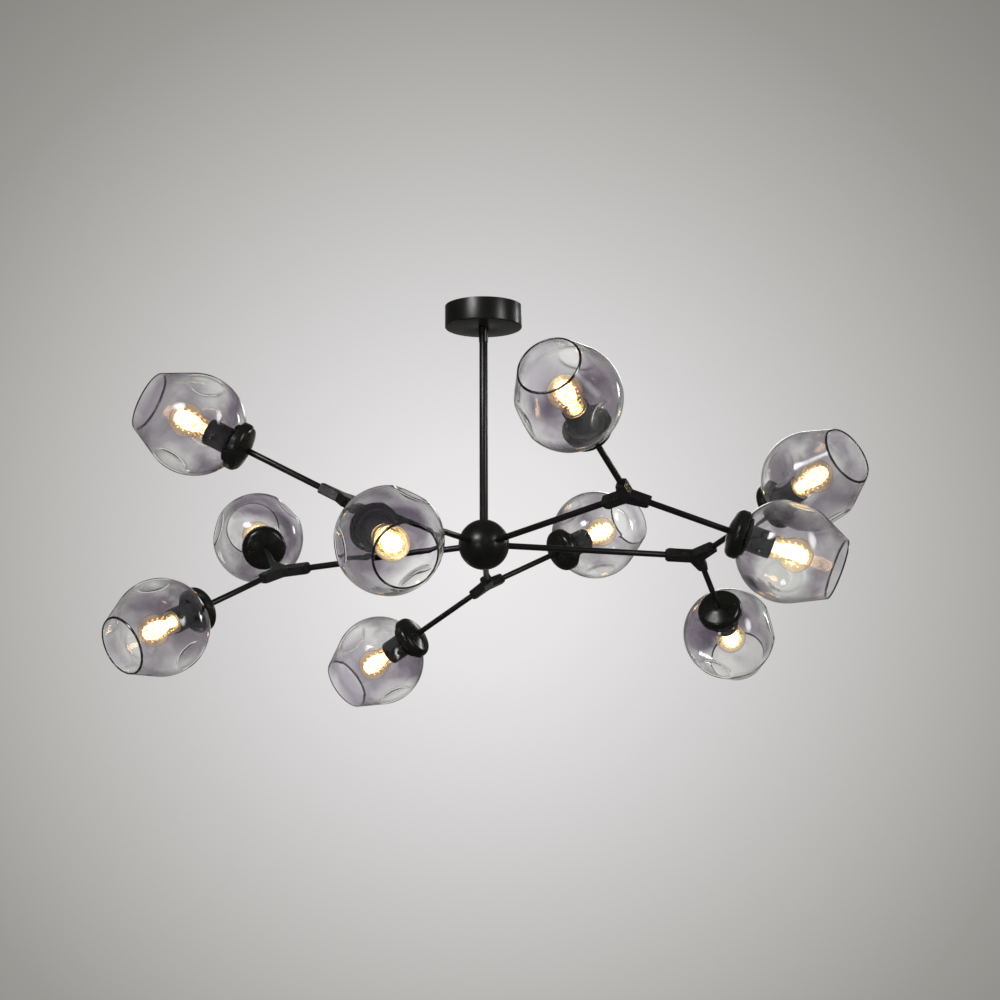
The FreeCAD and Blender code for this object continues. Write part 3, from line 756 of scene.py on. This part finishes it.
def base_mesh():
    """The screw base: rolled thread, glass insulator and solder contact."""
    root = BASE_RADIUS - THREAD_DEPTH
    shell = [Vector((root, BASE_TOP - step * THREAD_STEP)) for step in range(THREAD_STEPS)]
    tail = rounded([
        (INSULATOR_RADIUS, INSULATOR_TOP, 0.4),
        (CONTACT_RADII[0], CONTACT_TOP, 0.3),
        (CONTACT_RADII[1], CONTACT_END, 0.6),
        (0, CONTACT_END, 0),
    ], closed=False)
    head = [Vector((0, BULB_PLANE)), Vector((BASE_SHOULDER, BULB_PLANE))]
    profile = head + shell + tail
    first = len(head)
    last = first + len(shell)

    def threaded(spot, index):
        if not first <= index < last:
            return spot
        turn = math.atan2(spot.y, spot.x) / math.tau
        fade = min(1, (index - first) / 5, (last - 1 - index) / 5)
        swell = THREAD_DEPTH * fade * math.cos(math.tau * (spot.z / THREAD_PITCH - turn))
        return Vector((spot.x, spot.y, 0)).normalized() * (root + swell) + Vector((0, 0, spot.z))

    def metals(centre):
        if centre.z > INSULATOR_TOP - SEAM_DROP:
            return 0
        return 2 if centre.z < CONTACT_TOP - SEAM_DROP else 1

    return lathe("bulb_base", profile, [NICKEL, BLACK_GLASS, BRASS], segments=72, closed=False, form=threaded,
                 zone=metals)


def bead_spot(share, turns=5, low=-16, rise=47, radius=12.4, bulge=3.2, belly=(-12, 34), closing=(0.8, 22)):
    """Where a bead of the string lies, share of the way from the neck of the bulb to its tip."""
    angle = math.tau * turns * share
    height = low + rise * share
    along_belly = (height - belly[0]) / (belly[1] - belly[0])
    swell = bulge * math.sin(math.pi * min(1, max(0, along_belly)))
    reach = radius + swell - closing[1] * max(0, share - closing[0])
    return shift(reach * math.cos(angle), reach * math.sin(angle), height)


def core_mesh(beads=46, bead_radius=1.25):
    """What glows inside the bulb: a frosted column, and a wound string of small lights round it."""
    column = rounded([
        (0, -22.6, 0),
        (8, -22.6, 1),
        (7, -12, 4),
        (11, -2, 6),
        (13.2, 14, 8),
        (9, 30, 6),
        (0, 33, 0),
    ], closed=False, steps=4)
    made = lathe("bulb_core", column, [CORE, BEADS], segments=40, closed=False)
    mesh = bmesh.new()
    mesh.from_mesh(made)
    for count in range(beads):
        matrix = bead_spot(count / (beads - 1)) @ spin(30 * count, "X")
        bead = bmesh.ops.create_icosphere(mesh, subdivisions=2, radius=bead_radius * MM, matrix=matrix)
        for vertex in bead["verts"]:
            for face in vertex.link_faces:
                face.material_index = 1
                face.smooth = True
    mesh.to_mesh(made)
    mesh.free()
    return made


def make_lamps():
    meshes = {
        "cap": (cap_mesh(), "black_paint", "caps_"),
        "holder": (holder_mesh(), "black_moulding", "lampholders_"),
        "ring": (ring_mesh(), "black_moulding", "shade_rings_"),
        "envelope": (envelope_mesh(), "bulb_glass", "bulb_envelopes_"),
        "base": (base_mesh(), "nickel", "bulb_bases_"),
        "core": (core_mesh(), "bulb_glass", None),
    }
    shade = shade_mesh()
    pipe = tube_mesh("branch_pipe", BRANCH_RADIUS, BRANCH_ENDS, BLACK)
    for letter in FORKS:
        body = "fork_assembly_" + letter
        for side in SIDES:
            ending = "_%s_%s" % (side, letter)
            matrix = branch_frame(letter, side) @ TUBE_TO_X
            place("branch_pipe" + ending, pipe, matrix, body, ["branch_tubes_" + letter])
            for piece, (data, slot, node) in meshes.items():
                replaced = [node + letter] if node else []
                item = place(piece + ending, data, lamp_frame(letter, side), body, replaced)
                item.visible_shadow = piece not in ("envelope", "core")
            item = place("glass" + ending, shade, shade_frame(letter, side), body,
                         ["shade" + ending])
            item.visible_shadow = False


# ---- forks ----

def grub_mesh(socket=1.0, floor=-1.6, chamfer=0.4):
    """A set screw with a hexagon socket, its top at height 0."""
    profile = [
        Vector((0, floor)),
        Vector((socket, floor)),
        Vector((socket, -0.15)),
        Vector((socket + 0.2, 0)),
        Vector((GRUB_RADIUS - chamfer, 0)),
        Vector((GRUB_RADIUS, -chamfer)),
        Vector((GRUB_RADIUS, -GRUB_LENGTH)),
        Vector((0, -GRUB_LENGTH)),
    ]
    half_side = math.pi / 6
    corner_reach = 1.1

    def hexagonal(spot, index):
        """Only the socket's wall, points 1 and 2 of the profile, has six flats."""
        if not 1 <= index <= 2:
            return spot
        turn = math.atan2(spot.y, spot.x) % (2 * half_side) - half_side
        scale = math.cos(half_side) / math.cos(turn) * corner_reach
        return Vector((spot.x * scale, spot.y * scale, spot.z))

    return lathe("grub_screw", profile, [ZINC], segments=48, closed=False, form=hexagonal, sharp=25)


def make_forks():
    screw = grub_mesh()
    height = FORK_THICKNESS / 2 - GRUB_RECESS
    spots = [shift(GRUB_INSET - MAIN_LEG, 0, height)]
    for sign in SIDES.values():
        spots.append(spin(sign * BRANCH_ANGLE, "Z") @ shift(BRANCH_LEG - GRUB_INSET, 0, height))
    for letter in FORKS:
        soften("fork_" + letter, CAST_BLACK, 0.5)
        for count, spot in enumerate(spots):
            place("grub_%s_%d" % (letter, count), screw, fork_frame(letter) @ spot, "fork_assembly_" + letter,
                  ["set_screws_" + letter])


# ---- stage ----

# The pale patch behind the object: its centre in the view, and how it falls off, in radians from there.
PATCH_CENTRE = (-0.0077, -0.0231)
PATCH_LEVELS = [
    (0.0, (237, 235, 236)),
    (0.04, (231, 229, 229)),
    (0.08, (218, 216, 217)),
    (0.15, (191, 190, 188)),
    (0.23, (155, 154, 150)),
    (0.30, (129, 128, 124)),
]
# Beyond the patch: the room as it is seen, and as gloss reflects it.
ROOM_SEEN = [(0.42, (170, 169, 167)), (0.65, (216, 215, 213))]
ROOM_REFLECTED = [(0.42, (96, 96, 95)), (0.9, (54, 54, 55))]
CAMERA_PLACE = (0.025, -3.930, -1.0628)
CAMERA_TILT = 10.87
CAMERA_ROLL = -0.16
CAMERA_LENS = 93.56
CAMERA_SENSOR = 36
PLAIN_LEVEL = 0.85


def make_camera():
    camera = bpy.data.cameras.new("camera")
    camera.lens = CAMERA_LENS
    camera.sensor_width = CAMERA_SENSOR
    item = new_object("camera", camera)
    aim = spin(90 + CAMERA_TILT, "X") @ spin(CAMERA_ROLL, "Z")
    item.matrix_world = Matrix.Translation(CAMERA_PLACE) @ aim
    bpy.context.scene.camera = item
    return item


def make_world(camera):
    """A pale patch behind the object, in a fixed direction of the room."""
    world = bpy.data.worlds.new("room")
    bpy.context.scene.world = world
    world.use_nodes = True
    tree = world.node_tree
    tree.nodes.clear()
    centre = camera.matrix_world.to_3x3() @ Vector((*PATCH_CENTRE, -1)).normalized()

    def add(kind, inputs=(), **settings):
        return add_node(tree, kind, inputs, **settings)

    direction = add("ShaderNodeTexCoord").outputs["Generated"]
    cosine = add("ShaderNodeVectorMath", {0: direction, 1: centre}, operation="DOT_PRODUCT").outputs["Value"]
    angle = add("ShaderNodeMath", {0: cosine}, operation="ARCCOSINE").outputs[0]

    def background(levels):
        colour = add_ramp(tree, angle, [(position, srgb(*level)) for position, level in levels])
        return add("ShaderNodeBackground", {"Color": colour, "Strength": 1.0}).outputs[0]

    path = add("ShaderNodeLightPath")
    seen = add("ShaderNodeMath", {0: path.outputs["Is Camera Ray"], 1: path.outputs["Is Transmission Ray"]},
               operation="MAXIMUM").outputs[0]
    plain = add("ShaderNodeBackground", {"Color": (0.97, 0.98, 1.0, 1), "Strength": PLAIN_LEVEL}).outputs[0]
    reflected = add("ShaderNodeMixShader", {"Fac": path.outputs["Is Glossy Ray"], 1: plain,
                                            2: background(PATCH_LEVELS + ROOM_REFLECTED)}).outputs[0]
    mixed = add("ShaderNodeMixShader", {"Fac": seen, 1: reflected, 2: background(PATCH_LEVELS + ROOM_SEEN)})
    add("ShaderNodeOutputWorld", {"Surface": mixed.outputs[0]})


def soft_light(name, spot, target, size, power):
    """A softbox, brightest in its middle and dark at its edge."""
    light = bpy.data.lights.new(name, "AREA")
    light.shape = "RECTANGLE"
    light.size, light.size_y = size
    light.energy = power
    light.use_nodes = True
    tree = light.node_tree
    lit_spot = add_node(tree, "ShaderNodeNewGeometry").outputs["Parametric"]
    aside = add_node(tree, "ShaderNodeVectorMath", {0: lit_spot, 1: (0.5, 0.5, 0)}, operation="DISTANCE")
    fall = {"Value": aside.outputs["Value"], "From Min": 0.1, "From Max": 0.5, "To Min": 2.6, "To Max": 0}
    glow = add_node(tree, "ShaderNodeMapRange", fall, interpolation_type="SMOOTHSTEP")
    tree.links.new(glow.outputs["Result"], tree.nodes["Emission"].inputs["Strength"])
    item = new_object(name, light)
    item.location = spot
    item.visible_camera = False
    item.visible_transmission = False
    item.rotation_euler = (Vector(target) - Vector(spot)).to_track_quat("-Z", "Y").to_euler()


def make_lights():
    middle = (0, 0, -0.38)
    soft_light("key", (-1.6, -2.4, 1.0), middle, (1.7, 1.2), 66)
    soft_light("fill", (2.4, -1.8, 0.2), middle, (1.1, 2.1), 40)
    soft_light("rim", (0.6, 2.6, 0.8), middle, (1.6, 0.6), 4)
    soft_light("side", (2.7, 1.5, 0.6), middle, (0.6, 1.0), 14)
    soft_light("low", (-1.7, -3.5, -1.0), middle, (0.9, 0.9), 13)


def make_floor(height=-2.4, radius=20):
    """A pale floor, seen from above only, and not in the gloss of the paint."""
    mesh = bmesh.new()
    bmesh.ops.create_circle(mesh, cap_ends=True, segments=96, radius=radius)
    data = bpy.data.meshes.new("floor")
    mesh.to_mesh(data)
    mesh.free()
    floor = new_object("floor", data)
    floor.location.z = height
    surface = Surface("floor", Roughness=0.8)
    shades = [(0.3, srgb(226, 225, 223)), (0.7, srgb(231, 230, 228))]
    surface.link("Base Color", surface.ramp(surface.noise(400, 3), shades))
    clear = surface.add("ShaderNodeBsdfTransparent")
    under = surface.add("ShaderNodeNewGeometry").outputs["Backfacing"]
    glossy = surface.add("ShaderNodeLightPath").outputs["Is Glossy Ray"]
    unseen = surface.add("ShaderNodeMath", {0: under, 1: glossy}, operation="MAXIMUM").outputs[0]
    layers = {"Fac": unseen, 1: surface.shader.outputs[0], 2: clear.outputs[0]}
    mixed = surface.add("ShaderNodeMixShader", layers)
    surface.tree.links.new(mixed.outputs[0], surface.tree.nodes["Material Output"].inputs["Surface"])
    data.materials.append(surface.material)


bpy.context.scene.view_settings.view_transform = "Standard"
make_world(make_camera())
make_lights()
make_floor()
make_canopy()
make_stem()
make_ball()
make_arms()
make_forks()
make_lamps()
